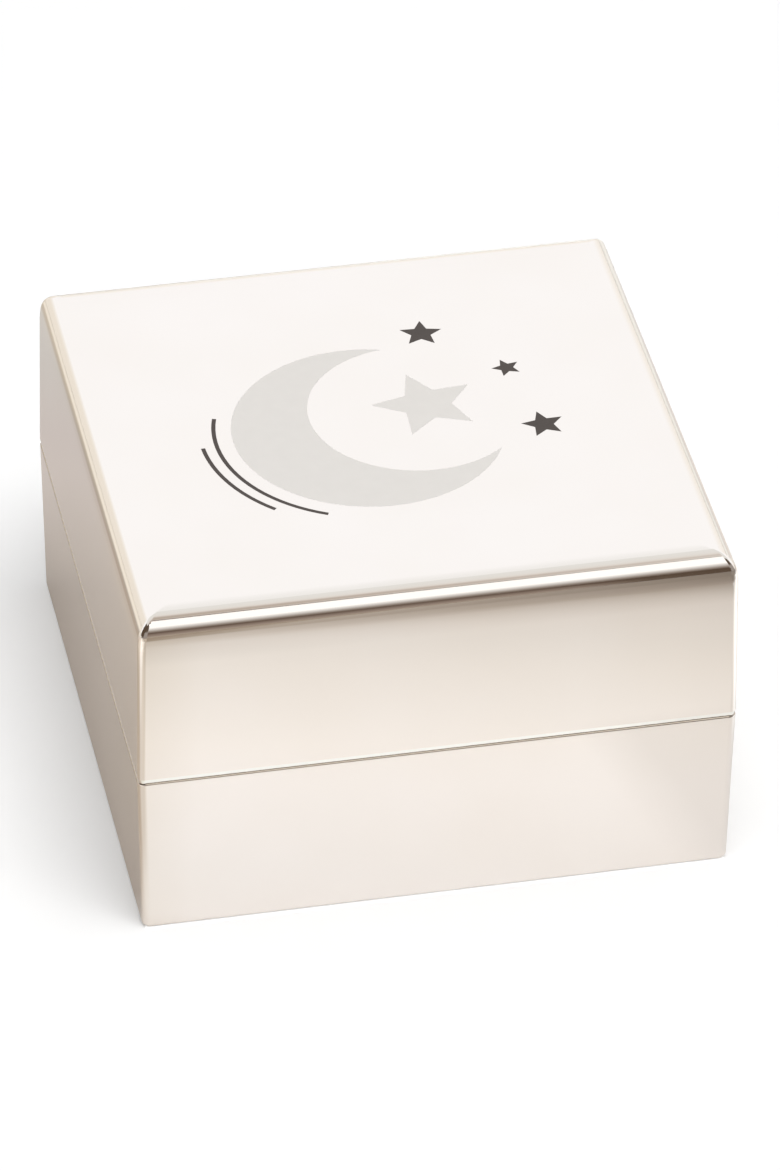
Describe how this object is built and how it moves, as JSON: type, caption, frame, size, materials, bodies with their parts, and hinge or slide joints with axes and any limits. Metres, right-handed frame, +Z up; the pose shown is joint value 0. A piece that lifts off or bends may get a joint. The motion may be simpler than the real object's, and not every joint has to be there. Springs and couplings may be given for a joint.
{
  "type": "hinged keepsake box",
  "caption": "Square mirror-polished metal keepsake box for baby teeth: a lined base and a half-height lid on a barrel hinge at the back, with an enamelled moon-and-stars lid.",
  "frame": {"origin": "middle of the underside, on the surface that the box stands on", "axes": "+Z up, -Y the front, +X to the right; the hinge is along X at the back seam"},
  "size_m": [0.0508, 0.0513, 0.0314],
  "materials": {
    "silver_plate": "polished",
    "pin_steel": "satin",
    "velvet": "matte",
    "felt": "matte",
    "grey_enamel": "satin",
    "dark_enamel": "satin"
  },
  "bodies": {
    "base": {"base_shell": "silver_plate", "base_felt": "felt", "base_knuckle_left": "silver_plate", "base_knuckle_middle": "silver_plate", "base_knuckle_right": "silver_plate", "hinge_pin": "pin_steel", "base_front_lining": "velvet", "base_back_lining": "velvet", "base_left_lining": "velvet", "base_right_lining": "velvet", "base_floor_pad": "velvet"},
    "lid": {"lid_shell": "silver_plate", "lid_knuckle_left": "silver_plate", "lid_knuckle_right": "silver_plate", "lid_front_lining": "velvet", "lid_back_lining": "velvet", "lid_left_lining": "velvet", "lid_right_lining": "velvet", "lid_ceiling_pad": "velvet", "moon_inlay": "grey_enamel", "large_star_inlay": "grey_enamel", "upper_star_inlay": "dark_enamel", "middle_star_inlay": "dark_enamel", "lower_star_inlay": "dark_enamel", "long_line_inlay": "dark_enamel", "short_line_inlay": "dark_enamel"}
  },
  "joints": [
    {"name": "lid_hinge", "type": "hinge", "parent": "base", "child": "lid", "pos_m": [0, 0.0249, 0.0154], "axis": [-1, 0, 0], "range_deg": [0, 100]}
  ]
}
